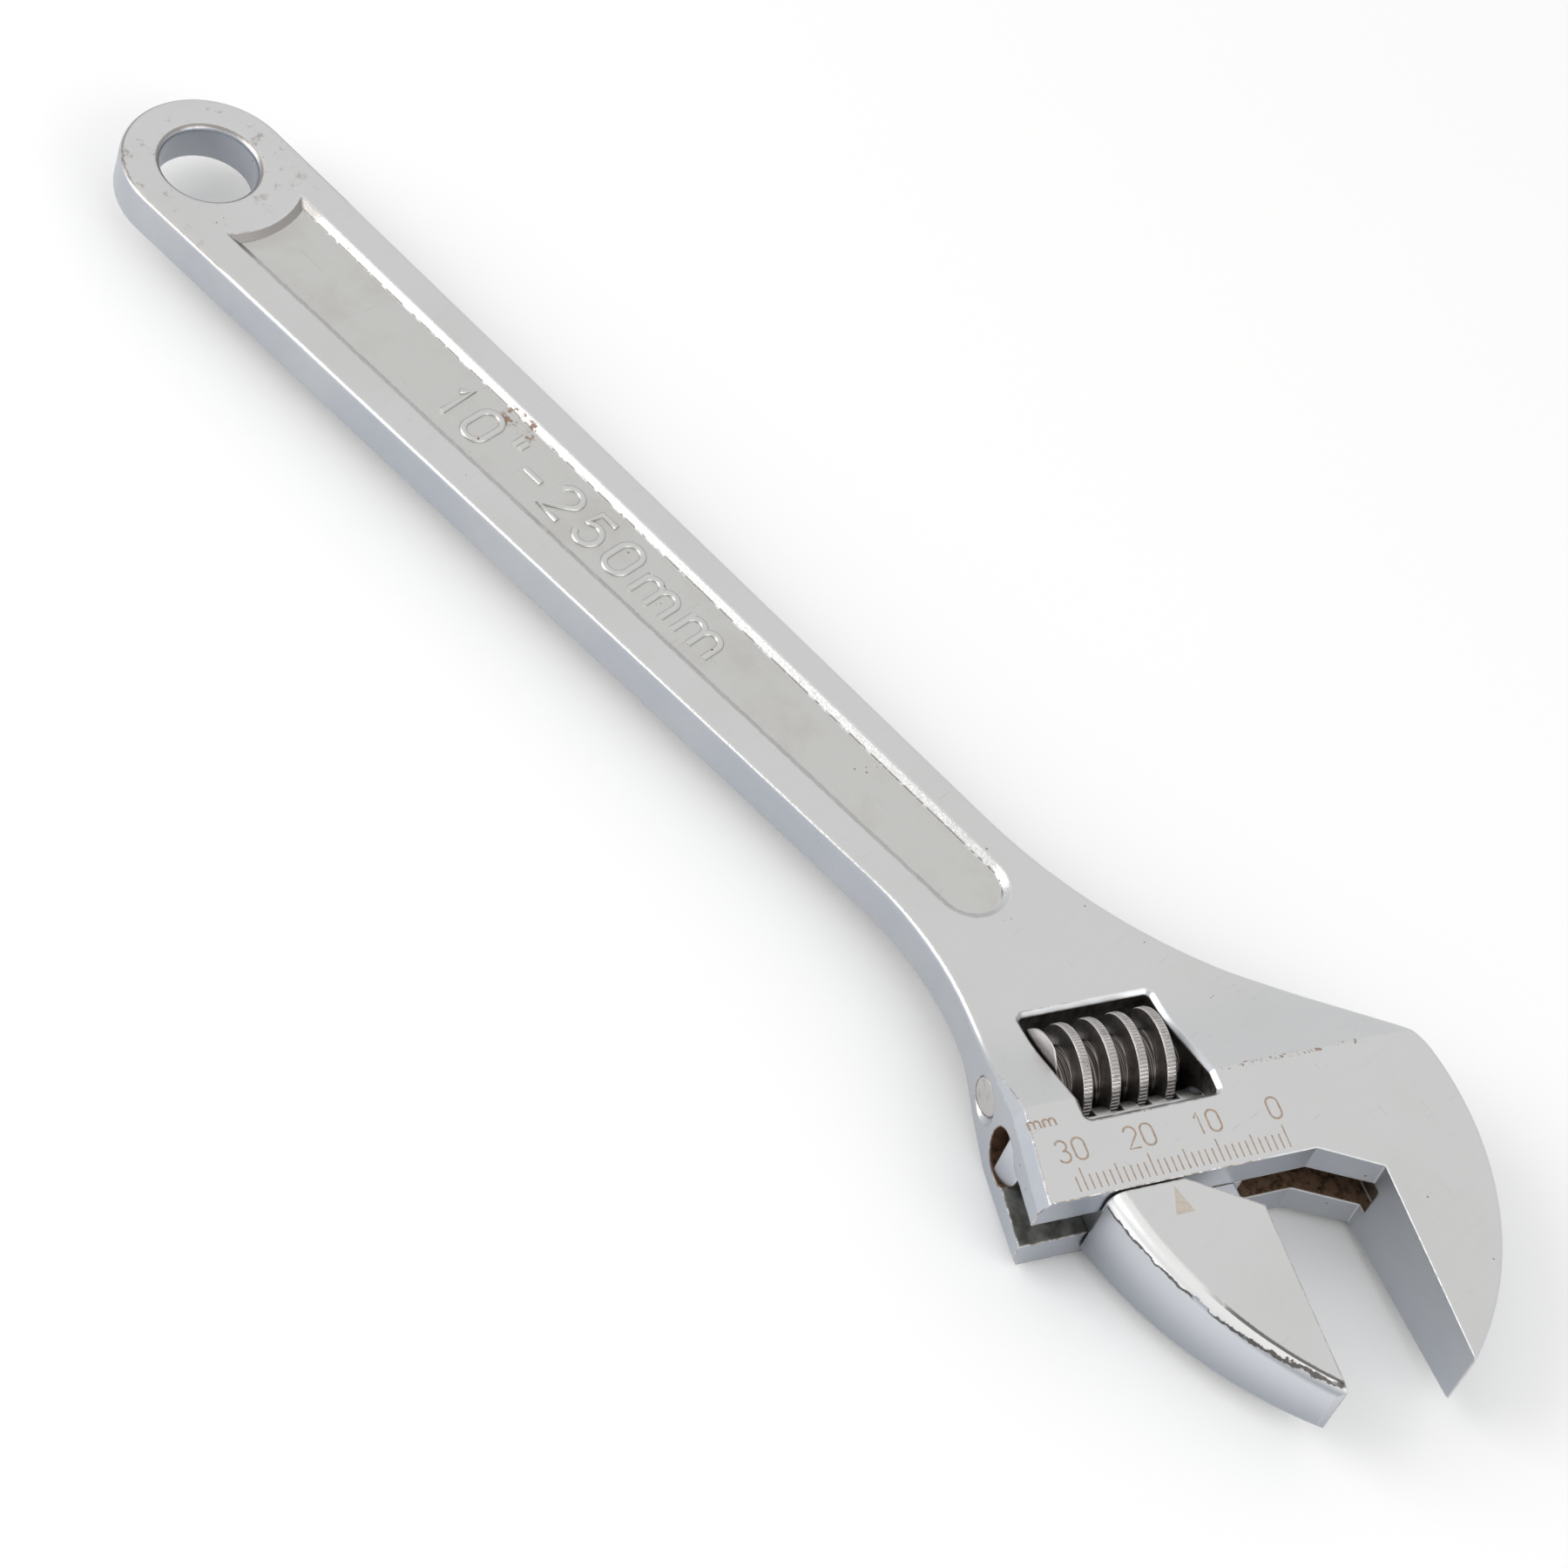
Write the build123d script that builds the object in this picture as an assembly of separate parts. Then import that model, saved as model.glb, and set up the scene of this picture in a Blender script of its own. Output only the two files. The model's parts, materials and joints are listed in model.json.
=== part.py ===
from build123d import *
from math import atan, cos, degrees, pi, radians, sin, sqrt
import os

os.makedirs("parts", exist_ok=True)

# Adjustable wrench, millimetres. X runs along the handle from the hang hole to the head,
# Y toward the fixed jaw, Z out of the broad face. The origin is the hang hole centre at mid thickness.

# Place of the head frame: U toward the fixed jaw, V toward the handle, zero on the graduated cheek edge
HEAD_ANGLE = 23.85
HEAD_X = 206.3
HEAD_Y = 1.5

# Handle, with outline points as X from the head frame and distance beyond the neck's half width
HANDLE_THICKNESS = 6.6
HANDLE_EDGE = 0.8
END_RADIUS = 12.7
NECK_HALF = 10.45
NECK_X = HEAD_X - 60.3
FLARE_HIGH = (-41.3, -0.5)
FLARE_HIGH_RADIUS = 75.0
BEND_HIGH = (-17.3, 12.85)
BEND_HIGH_RADIUS = 80.0
CORNER_HIGH = (-1.0, 19.4)
CORNER_HIGH_RADIUS = 10.0
FLARE_LOW = (-48.4, 0.35)
FLARE_LOW_RADIUS = 50.0
HOLE_RADIUS = 7.0
HOLE_EDGE = 1.1
PANEL_START = 13.5
PANEL_WIDTH = 14.2
PANEL_END_X = HEAD_X - 55.1
PANEL_END_RADIUS = 5.6
PANEL_DEPTH = 0.8

# Head
SCALE_HALF = 7.28
FACE_SLOPE = 0.0704
HEAD_EDGE = 0.5
CREASE_V = 12.8
NECK_SLOPE = 0.385
NECK_BLEND = 25.0
WALL_U = -37.0
CHEEK_V = -0.8
THROAT_U = 3.57
THROAT_V = -5.23
FIXED_FACE_U = 11.85
OUTER_RADIUS = 42.7
OUTER_U = -15.2
OUTER_V = -0.5
WALL_BEVEL_IN = 1.1
WALL_BEVEL_DOWN = 2.0

# Rail and rack of the movable jaw
RAIL_V = 10.8
RAIL_RADIUS = 3.85
RAIL_FIT = 0.08
RAIL_LENGTH = 27.7
RAIL_RELIEF = 2.2
RELIEF_RISE = 0.6
WEB_THICKNESS = 4.9
WEB_FIT = 0.15
WEB_LENGTH = 19.7
WEB_NOSE = 1.2
SLOT_END = 1.9
SLOT_LOW = 1.4
SLOT_ROUND = 1.0
RACK_GAP = 0.22

# Knurl, pin and spring
KNURL_ROOT = 4.9
THREAD_DEPTH = 2.6
THREAD_PITCH = 4.157
CREST_WIDTH = 1.3
RIDGE_ROOT_WIDTH = 1.9
THREAD_PHASE = 0.33
ROOT_GAP = 0.25
END_GAP = 0.3
PIN_RADIUS = 2.75
PIN_FIT = 0.05
PIN_DEPTH = 8.0
PIN_SINK = 0.3
PIN_RING = 0.35
SPRING_WIRE = 0.6
SPRING_TURNS = 4.5
SPRING_POCKET = 7.0

# Window
WINDOW_U = -25.9
WINDOW_LENGTH = 19.6
WINDOW_REACH = 1.05
WINDOW_SPARE = 1.3
WINDOW_CORNER = 0.8
WINDOW_EDGE = 0.6

# Movable jaw
OPENING = 19.0
SHOULDER_GAP = 0.3
JAW_BACK = 20.0
JAW_BULGE = 12.3
JAW_TIP_V = -33.55
JAW_TIP_FLAT = 1.3
JAW_CORNER_V = -6.95
JAW_RAMP = 9.2
JAW_EDGE = 2.2

HEAD = Location((HEAD_X, HEAD_Y, 0), (0, 0, 90 - HEAD_ANGLE))
ACROSS = Plane(origin=(0, 0, 0), x_dir=(0, 1, 0), z_dir=(1, 0, 0))
UPWARD = (Align.CENTER, Align.CENTER, Align.MIN)
HALF_HANDLE = HANDLE_THICKNESS / 2
KNURL_RADIUS = KNURL_ROOT + THREAD_DEPTH
KNURL_V = RAIL_V + RAIL_RADIUS + ROOT_GAP + KNURL_ROOT
KNURL_START = WINDOW_U + END_GAP
KNURL_LENGTH = WINDOW_LENGTH - END_GAP - 1.6
WINDOW_END = WINDOW_U + WINDOW_LENGTH
WINDOW_V = RAIL_V - WINDOW_REACH
WINDOW_TOP = KNURL_V + KNURL_RADIUS + WINDOW_SPARE
FACE_U = FIXED_FACE_U - OPENING
RAIL_START = FACE_U - RAIL_LENGTH
NOSE_U = FACE_U + WEB_NOSE
FAR = 300.0


def head_point(u, v):
    """X and Y of a point of the head frame."""
    a = radians(90 - HEAD_ANGLE)
    return (HEAD_X + u * cos(a) - v * sin(a), HEAD_Y + u * sin(a) + v * cos(a))


def head_coordinates(point):
    """U and V of a point."""
    a = radians(90 - HEAD_ANGLE)
    x, y = point.X - HEAD_X, point.Y - HEAD_Y
    return (x * cos(a) + y * sin(a), y * cos(a) - x * sin(a))


def neck_point(offset, side):
    """A point of the handle's outline, on its upper or lower side."""
    return (HEAD_X + offset[0], side * (NECK_HALF + offset[1]))


def near(shape, point):
    """The vertex of a flat shape nearest to a point."""
    return shape.vertices().sort_by_distance((point[0], point[1], 0))[0]


def along_u(radius, start, end, v):
    """A round bar parallel to the slide, in the head frame."""
    return Plane(origin=(start, v, 0), z_dir=(1, 0, 0)) * Cylinder(radius, end - start, align=UPWARD)


def block(u0, u1, v0, v1, half):
    """A block in the head frame between two values of U and of V, centred on the mid plane."""
    return Pos((u0 + u1) / 2, (v0 + v1) / 2, 0) * Box(u1 - u0, v1 - v0, 2 * half)


def face_height(v):
    """Half thickness of the ground faces at a distance V from the cheek edge."""
    return SCALE_HALF + FACE_SLOPE * v


def wall_at(v):
    """U of the slotted end wall."""
    u1, v1 = head_coordinates(Vector(*neck_point(FLARE_LOW, -1)))
    return WALL_U + (v - CHEEK_V) * (u1 - WALL_U) / (v1 - CHEEK_V)


def ground_faces():
    """Everything between the two ground faces, which close in toward the jaw tips."""
    v0, v1 = -60.0, FAR
    upper = [(v0, face_height(v0)), (v1, face_height(v1))]
    lower = [(v, -z) for v, z in reversed(upper)]
    return extrude(ACROSS * Polygon(*upper, *lower, align=None), amount=FAR, both=True)


def side_profile():
    """Everything between the faces of the forging: ground head, neck slope, handle."""
    v0 = -60.0
    crest = face_height(CREASE_V)
    foot = CREASE_V + (crest - HALF_HANDLE) / NECK_SLOPE
    upper = [(v0, face_height(v0)), (CREASE_V, crest), (foot, HALF_HANDLE), (FAR, HALF_HANDLE)]
    lower = [(v, -z) for v, z in reversed(upper)]
    flat = Polygon(*upper, *lower, align=None)
    feet = [near(flat, (foot, HALF_HANDLE)), near(flat, (foot, -HALF_HANDLE))]
    return extrude(ACROSS * fillet(feet, NECK_BLEND), amount=FAR, both=True)


def outline():
    """Plan view of the forging, without the window."""
    taper = atan((END_RADIUS - NECK_HALF) / NECK_X)
    high = (END_RADIUS * sin(taper), END_RADIUS * cos(taper))
    low = (high[0], -high[1])
    flare_high = neck_point(FLARE_HIGH, 1)
    bend_high = neck_point(BEND_HIGH, 1)
    corner = neck_point(CORNER_HIGH, 1)
    flare_low = neck_point(FLARE_LOW, -1)
    tip_drop = sqrt(OUTER_RADIUS**2 - (FIXED_FACE_U - OUTER_U) ** 2)
    tip = head_point(FIXED_FACE_U, OUTER_V - tip_drop)
    turn = radians(-18)
    middle = head_point(OUTER_U + OUTER_RADIUS * cos(turn), OUTER_V + OUTER_RADIUS * sin(turn))
    throat = head_point(FIXED_FACE_U, THROAT_V)
    shoulder = head_point(THROAT_U, CHEEK_V)
    cheek = head_point(WALL_U, CHEEK_V)
    flat = make_face(
        [
            ThreePointArc(low, (-END_RADIUS, 0), high),
            Polyline(high, flare_high, bend_high, corner),
            ThreePointArc(corner, middle, tip),
            Polyline(tip, throat, shoulder, cheek, flare_low, low),
        ]
    )
    flat = fillet(near(flat, flare_high), FLARE_HIGH_RADIUS)
    flat = fillet(near(flat, bend_high), BEND_HIGH_RADIUS)
    flat = fillet(near(flat, corner), CORNER_HIGH_RADIUS)
    return fillet(near(flat, flare_low), FLARE_LOW_RADIUS)


def in_window(u, v, margin):
    """Whether a point lies in the window or within a margin of it."""
    gap = margin + 0.01
    return WINDOW_U - gap < u < WINDOW_END + gap and WINDOW_V - gap < v < WINDOW_TOP + gap


def window_edges(shape):
    """Edges where the window breaks through the broad faces."""
    kept = []
    for edge in shape.edges():
        u, v = head_coordinates(edge.position_at(0.5))
        if in_window(u, v, 0) and abs(edge.tangent_at(0.5).Z) < 0.9:
            kept.append(edge)
    return kept


def rim_edges(shape, ground):
    """Edges where the outer wall meets a broad face: of the ground head, or of the rest."""
    kept = []
    slide = Vector(cos(radians(90 - HEAD_ANGLE)), sin(radians(90 - HEAD_ANGLE)), 0)
    for edge in shape.edges():
        u, v = head_coordinates(edge.position_at(0.5))
        way = edge.tangent_at(0.5)
        upright = abs(way.Z) > 0.9
        crossing = abs(way.dot(slide)) > 0.9999
        inner = v < CHEEK_V + 1 and u < FIXED_FACE_U + 0.01 or in_window(u, v, WINDOW_EDGE)
        if not (upright or crossing or inner) and ground == (v < CREASE_V - 0.01):
            kept.append(edge)
    return kept


def wall_bevels():
    """Wedges taken off the long edges of the slotted end, running out on the neck slope."""
    crest = face_height(CREASE_V)
    fade = 0.85 * (crest - HALF_HANDLE) / NECK_SLOPE
    steep = WALL_BEVEL_DOWN / WALL_BEVEL_IN
    stations = [
        (CHEEK_V - 4, face_height(CHEEK_V - 4), WALL_BEVEL_IN),
        (CREASE_V, crest, WALL_BEVEL_IN),
        (CREASE_V + fade, crest - NECK_SLOPE * fade, 0),
    ]
    wedges = []
    for side in (1, -1):
        sections = []
        for v, z, cut in stations:
            u = wall_at(v)
            corners = [(u - 2, z + 4), (u + cut + 2, z + 4), (u + cut, z), (u - 2, z - (cut + 2) * steep)]
            points = [Vector(a, v, side * b) for a, b in corners]
            sections.append(Wire.make_polygon(points, close=True))
        wedges.append(HEAD * Solid.make_loft(sections, True))
    return wedges


def slot_and_bore():
    """The slot for the movable jaw's web and the bore for its rail."""
    end = FIXED_FACE_U + SLOT_END
    half = WEB_THICKNESS / 2 + WEB_FIT
    slot = block(WALL_U - 5, end, THROAT_V - SLOT_LOW, RAIL_V, half)
    far_low = slot.edges().filter_by(Axis.Z).group_by(Axis.X)[-1].group_by(Axis.Y)[0]
    bore = along_u(RAIL_RADIUS + RAIL_FIT, WALL_U - 5, end, RAIL_V)
    return HEAD * (fillet(far_low, SLOT_ROUND) + bore)


def pin_hole():
    """The hole for the knurl pin, countersunk where it leaves the end wall."""
    hole = along_u(PIN_RADIUS, WALL_U - 5, WINDOW_END + PIN_DEPTH, KNURL_V)
    mouth = Plane(origin=(wall_at(KNURL_V) + PIN_RING, KNURL_V, 0), z_dir=(-1, 0, 0)) * Cone(
        PIN_RADIUS, PIN_RADIUS + 3 * PIN_RING, 3 * PIN_RING, align=UPWARD
    )
    return HEAD * (hole + mouth)


def make_body():
    """The forging: handle, head and fixed jaw, with its slot, bore, window and holes."""
    window = block(WINDOW_U, WINDOW_END, WINDOW_V, WINDOW_TOP, 20)
    window = fillet(window.edges().filter_by(Axis.Z), WINDOW_CORNER)
    body = extrude(outline(), amount=20, both=True) & (HEAD * side_profile())
    body -= HEAD * window
    body = chamfer(window_edges(body), WINDOW_EDGE)
    body = fillet(rim_edges(body, False), HANDLE_EDGE)
    body = fillet(rim_edges(body, True), HEAD_EDGE)
    for wedge in wall_bevels():
        body -= wedge
    body -= slot_and_bore()
    body -= pin_hole()
    body -= hang_hole()
    for side in (1, -1):
        body -= panel(side)
    return body


def hang_hole():
    """The hang hole with its rounded rims, as the material to remove."""
    half = HALF_HANDLE + 0.5
    wide = HOLE_RADIUS + HOLE_EDGE
    knee = HALF_HANDLE - HOLE_EDGE
    profile = make_face(
        [
            Polyline((0, half), (0, -half), (wide, -half), (wide, -HALF_HANDLE)),
            RadiusArc((wide, -HALF_HANDLE), (HOLE_RADIUS, -knee), HOLE_EDGE),
            Line((HOLE_RADIUS, -knee), (HOLE_RADIUS, knee)),
            RadiusArc((HOLE_RADIUS, knee), (wide, HALF_HANDLE), HOLE_EDGE),
            Polyline((wide, HALF_HANDLE), (wide, half), (0, half)),
        ]
    )
    return revolve(Plane.XZ * profile, Axis.Z)


def panel(side):
    """One sunken panel of the handle, as the material to remove."""
    y = PANEL_WIDTH / 2
    x = sqrt(PANEL_START**2 - y**2)
    end_x, end_y = PANEL_END_X, PANEL_END_RADIUS
    flat = make_face(
        [
            ThreePointArc((x, y), (PANEL_START, 0), (x, -y)),
            Line((x, -y), (end_x, -end_y)),
            ThreePointArc((end_x, -end_y), (end_x + PANEL_END_RADIUS, 0), (end_x, end_y)),
            Line((end_x, end_y), (x, y)),
        ]
    )
    cut = extrude(Pos(0, 0, -HALF_HANDLE) * flat, amount=PANEL_DEPTH, taper=55)
    return cut if side < 0 else mirror(cut, Plane.XY)


def make_knurl():
    """The thumb worm: a left hand thread round a core, bored for the pin and the spring."""
    sunk = KNURL_ROOT - 0.4
    slant = (RIDGE_ROOT_WIDTH - CREST_WIDTH) / THREAD_DEPTH
    low_half = (RIDGE_ROOT_WIDTH + 0.4 * slant) / 2
    high_half = CREST_WIDTH / 2
    tall = KNURL_RADIUS - sunk
    path = Helix(THREAD_PITCH, KNURL_LENGTH + 4 * THREAD_PITCH, sunk, lefthand=True)
    section = Plane(origin=path @ 0, x_dir=(1, 0, 0), z_dir=path % 0) * Polygon(
        (0, -low_half), (tall, -high_half), (tall, high_half), (0, low_half), align=None
    )
    thread = Pos(0, 0, THREAD_PHASE - 2 * THREAD_PITCH) * sweep(section, path=path, is_frenet=True)
    worm = Cylinder(KNURL_ROOT, KNURL_LENGTH, align=UPWARD)
    worm += thread & Box(4 * KNURL_RADIUS, 4 * KNURL_RADIUS, KNURL_LENGTH, align=UPWARD)
    worm -= Pos(0, 0, -1) * Cylinder(PIN_RADIUS + PIN_FIT, KNURL_LENGTH + 2, align=UPWARD)
    pocket = Cylinder(PIN_RADIUS + SPRING_WIRE + 0.35, SPRING_POCKET + 1, align=UPWARD)
    worm -= Pos(0, 0, KNURL_LENGTH - SPRING_POCKET) * pocket
    return on_pin(KNURL_START, worm)


def on_pin(u, piece):
    """Put a piece made upright at the origin onto the pin's axis, at a value of U."""
    frame = Plane(origin=(u, KNURL_V, 0), x_dir=(0, 1, 0), z_dir=(1, 0, 0))
    return HEAD * (frame.location * piece)


def make_pin():
    """The pin the knurl turns on, pressed into the head on both sides of the window."""
    start = wall_at(KNURL_V) + PIN_SINK
    pin = along_u(PIN_RADIUS, start, WINDOW_END + PIN_DEPTH - 0.2, KNURL_V)
    return HEAD * chamfer(pin.edges().filter_by(GeomType.CIRCLE), 0.25)


def make_spring():
    """Coil spring round the pin, between the bottom of the knurl's pocket and the window's side."""
    start = KNURL_START + KNURL_LENGTH - SPRING_POCKET + END_GAP + SPRING_WIRE / 2
    length = WINDOW_END - 0.02 - SPRING_WIRE / 2 - start
    path = Helix(length / SPRING_TURNS, length, PIN_RADIUS + 0.1 + SPRING_WIRE / 2)
    wire = sweep(Plane(origin=path @ 0, z_dir=path % 0) * Circle(SPRING_WIRE / 2), path=path, is_frenet=True)
    return on_pin(start, wire)


def jaw_outline():
    """Plan view of the movable jaw outside the slot."""
    top = CHEEK_V - SHOULDER_GAP
    corner = (FACE_U, JAW_CORNER_V)
    back = (FACE_U - JAW_BACK, top)
    middle = (FACE_U - JAW_BULGE, top + 0.6 * (JAW_TIP_V - top))
    low = (FACE_U - JAW_TIP_FLAT, JAW_TIP_V + 0.2)
    return make_face(
        [
            Polyline(corner, (FACE_U - JAW_RAMP, top), back),
            ThreePointArc(back, middle, low),
            Polyline(low, (FACE_U, JAW_TIP_V), corner),
        ]
    )


def rack_grooves():
    """Grooves cut across the rail at the thread's pitch, leaning with the thread."""
    lean = degrees(atan(THREAD_PITCH / (2 * pi * KNURL_RADIUS)))
    slant = (RIDGE_ROOT_WIDTH - CREST_WIDTH) / 2 / THREAD_DEPTH
    low = CREST_WIDTH / 2 + RACK_GAP
    tall = THREAD_DEPTH + 1.5
    high = low + slant * tall
    flat = Polygon((-low, 0), (low, 0), (high, tall), (-high, tall), align=None)
    cutter = extrude(flat, amount=6, both=True)
    bottom = KNURL_V - KNURL_RADIUS - RACK_GAP
    u = KNURL_START + THREAD_PHASE + THREAD_PITCH / 2
    while u > RAIL_START + THREAD_PITCH:
        u -= THREAD_PITCH
    grooves = []
    while u < NOSE_U + 2:
        grooves.append(Pos(u, bottom, 0) * Rot(0, lean, 0) * cutter)
        u += THREAD_PITCH
    return grooves


def make_jaw():
    """The movable jaw with its web, rail and rack."""
    head = extrude(jaw_outline(), amount=20, both=True) & ground_faces()
    backs = [e for e in head.edges() if e.geom_type != GeomType.LINE]
    jaw = fillet(backs, JAW_EDGE)
    half = WEB_THICKNESS / 2
    jaw += block(FACE_U - WEB_LENGTH, FACE_U, CHEEK_V - SHOULDER_GAP - 0.5, RAIL_V, half)
    jaw += block(FACE_U - JAW_RAMP - 3, FACE_U, JAW_CORNER_V + 3, 0, half)
    jaw += block(FACE_U - 4, FACE_U, JAW_CORNER_V - 0.5, 0, half)
    jaw += block(FACE_U - 1, NOSE_U, CHEEK_V, RAIL_V, half)
    jaw += along_u(RAIL_RADIUS, RAIL_START, NOSE_U, RAIL_V)
    jaw -= block(RAIL_START - 1, RAIL_START + RAIL_RELIEF, RAIL_V + RELIEF_RISE, KNURL_V, 10)
    for groove in rack_grooves():
        jaw -= groove
    return HEAD * jaw


def main():
    pieces = {
        "wrench_body": make_body(),
        "movable_jaw": make_jaw(),
        "knurl": make_knurl(),
        "knurl_pin": make_pin(),
        "knurl_spring": make_spring(),
    }
    for name, piece in pieces.items():
        export_step(piece, f"parts/{name}.step")


main()
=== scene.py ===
import json
from math import cos, radians, sin, tau
import bpy
from mathutils import Euler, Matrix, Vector


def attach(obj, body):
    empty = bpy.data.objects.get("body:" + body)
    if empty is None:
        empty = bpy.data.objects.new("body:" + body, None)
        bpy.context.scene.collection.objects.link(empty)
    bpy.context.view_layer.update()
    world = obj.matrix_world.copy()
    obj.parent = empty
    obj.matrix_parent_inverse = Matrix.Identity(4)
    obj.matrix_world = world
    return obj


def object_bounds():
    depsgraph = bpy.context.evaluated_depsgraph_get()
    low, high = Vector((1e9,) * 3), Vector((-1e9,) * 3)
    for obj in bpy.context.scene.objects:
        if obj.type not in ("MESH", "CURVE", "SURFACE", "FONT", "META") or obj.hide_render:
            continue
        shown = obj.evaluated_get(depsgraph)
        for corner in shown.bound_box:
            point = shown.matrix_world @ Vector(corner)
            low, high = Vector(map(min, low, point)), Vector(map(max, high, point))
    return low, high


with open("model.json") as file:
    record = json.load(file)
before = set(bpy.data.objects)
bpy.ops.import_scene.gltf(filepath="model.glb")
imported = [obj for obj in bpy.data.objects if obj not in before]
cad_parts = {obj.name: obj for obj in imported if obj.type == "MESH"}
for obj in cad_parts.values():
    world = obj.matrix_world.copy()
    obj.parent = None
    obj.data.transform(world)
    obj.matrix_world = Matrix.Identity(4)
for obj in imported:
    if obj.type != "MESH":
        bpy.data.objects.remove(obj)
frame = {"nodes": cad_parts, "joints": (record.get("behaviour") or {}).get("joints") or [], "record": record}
cad_low, cad_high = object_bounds()

MM = 0.001
NODES = frame["nodes"]
RECORD = frame["record"]
MOUNTS = {mount["name"]: mount for mount in RECORD["mounts"]}
JOINTS = {joint["name"]: joint for joint in frame["joints"]}

# The head frame: U along the slide toward the fixed jaw, V toward the handle, in millimetres.
SLIDE = Vector(JOINTS["jaw_slide"]["axis"]).normalized()
ACROSS = Vector((-SLIDE.y, SLIDE.x, 0))
JAW_FACE_U = -7.15
JAW_FACE_V = -20.0
HEAD_ORIGIN = Vector(MOUNTS["movable_jaw_face"]["pos_m"]) - (JAW_FACE_U * SLIDE + JAW_FACE_V * ACROSS) * MM

# Scale on the cheek
CHEEK_SAMPLE = (-12.0, 1.0)
TICKS = 32
TICK_START = 0.05
TICK_WIDTH = 0.22
TICK_LENGTHS = {0: 3.3, 5: 2.9}
TICK_SHORT = 2.2
DIGIT_HEIGHT = 3.1
DIGIT_WIDTH = 1.7
DIGIT_GAP = 0.75
DIGIT_STROKE = 0.3
DIGIT_BASE_V = 4.3
DIGIT_WIDTHS = {"0": DIGIT_WIDTH, "1": 0.7 * DIGIT_WIDTH, "2": DIGIT_WIDTH, "3": DIGIT_WIDTH}
UNIT_HEIGHT = 1.5
UNIT_WIDTHS = {"m": 1.7}
UNIT_GAP = 0.5
UNIT_PLACE = (-34.4, 9.6)
MARK_RISE = 0.012
FACE_SAMPLE = 4.0

# Index triangle on the jaw
JAW_SAMPLE = (-16.0, -20.0)
POINTER_TIP = (-18.3, -1.9)
POINTER_BASE_V = -5.7
POINTER_HALF = 1.4
POINTER_LINES = 13
POINTER_STROKE = 0.34

# Raised size mark in the handle's panel
MARK_START_X = 50.0
MARK_HEIGHT = 6.2
MARK_WIDTHS = {"0": 3.6, "1": 2.6, '"': 2.4, "-": 3.2, "m": 6.0, "2": 3.6, "5": 3.6}
MARK_GAP = 2.35
MARK_STROKE = 1.1
MARK_PROUD = 0.32
MARK_SIDES = 4
PANEL_FLOOR = 2.5

# Serrations along the knurl's crest
PITCH = tau / abs(RECORD["behaviour"]["couplings"][0]["ratio"]) / MM
KNURL_V = 19.8
KNURL_RADIUS = 7.5
KNURL_START_U = -25.6
KNURL_LENGTH = 17.7
CREST_U = -21.11
TEETH_PER_TURN = 96
TOOTH_LENGTH = 1.12
TOOTH_HEIGHT = 0.1
TOOTH_SHARE = 0.42
TOOTH_RAMP = 0.14
TOOTH_RAMP_FOOT = 0.02
TOOTH_SUNK = 0.03
TOOTH_MARGIN = 0.05
# Across and up, as shares of a tooth's width and height
TOOTH_OUTLINE = ((-0.5, 0.0), (-0.22, 1.0), (0.22, 1.0), (0.5, 0.0))

# Places that the paint follows, in millimetres. A pair is the two ends of a stretch where span()
# reads it, and the places where a mark begins and is full where fade() does.
HANDLE_FACE = 3.3
HANDLE_END_X = (170, 165)
PANEL_ARC_X = (18, 15)
HOLE_STAIN_X = (14, 6)
BLOT_X = (57, 62)
BLOT_Y = (3.2, 6)
LOWER_RIM_Y = (0.0, -5)
WINDOW_U = (-26.3, -5.9)
WINDOW_V = (9.3, 29.0)
SLOT_HALF = 2.7
SLOT_START_U = (-38, -37)
SLOT_TOP_V = (30, 28)
SLOT_RUST_U = (-22, -12)
BORE_V = 10.8
BORE_EDGE = (4.1, 4.0)
BORE_END_U = (-6, -8)
CREASE_U = (-4, 20)
CREASE_V = (12.45, 13.1)
KNURL_SHINE_RADII = (5.4, 7.2)
PIN_SHINE_RADII = (1.0, 2.3)
BACK_SHADE_Z = (-5, 4)
CROWN_V = (-15, -21)
CROWN_Z = (0.0, 1)

# Height above which the jaw's back carries its painted highlight band
BAND_Z = 4.9
BAND_RAGGED = 1.6

# Studio, its lengths in metres
FLOOR_HALF = 3.0
FLOOR_GAP = 0.0002
LIGHT_TARGET = (0.13, 0.0, 0.0)
# Direction, distance, size and power in watts
LIGHTS = {
    "key": ((-0.7, -0.6, 0.55), 1.1, 0.8, 5.0),
    "fill": ((0.9, -0.1, 0.6), 1.2, 0.9, 3.0),
}
SKY_STRENGTH = 0.93

# Camera: place in metres, angles in degrees, lens and sensor in millimetres
CAMERA_PLACE = (0.29922, -0.37936, 0.48145)
CAMERA_ANGLES = (38.008, -15.277, 43.850)
CAMERA_LENS = 109.453
CAMERA_SENSOR = 36


def head_place(u, v, z=0.0):
    """A point of the head frame, in metres."""
    place = HEAD_ORIGIN + (u * SLIDE + v * ACROSS) * MM
    place.z = z * MM
    return place


def surface_height(node, place):
    """Height of a node's top surface above a point, in metres."""
    hit, where, _, _ = NODES[node].ray_cast(Vector((place.x, place.y, 0.1)), Vector((0, 0, -1)))
    return where.z if hit else 0.0


# ---------------------------------------------------------------- materials


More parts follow.
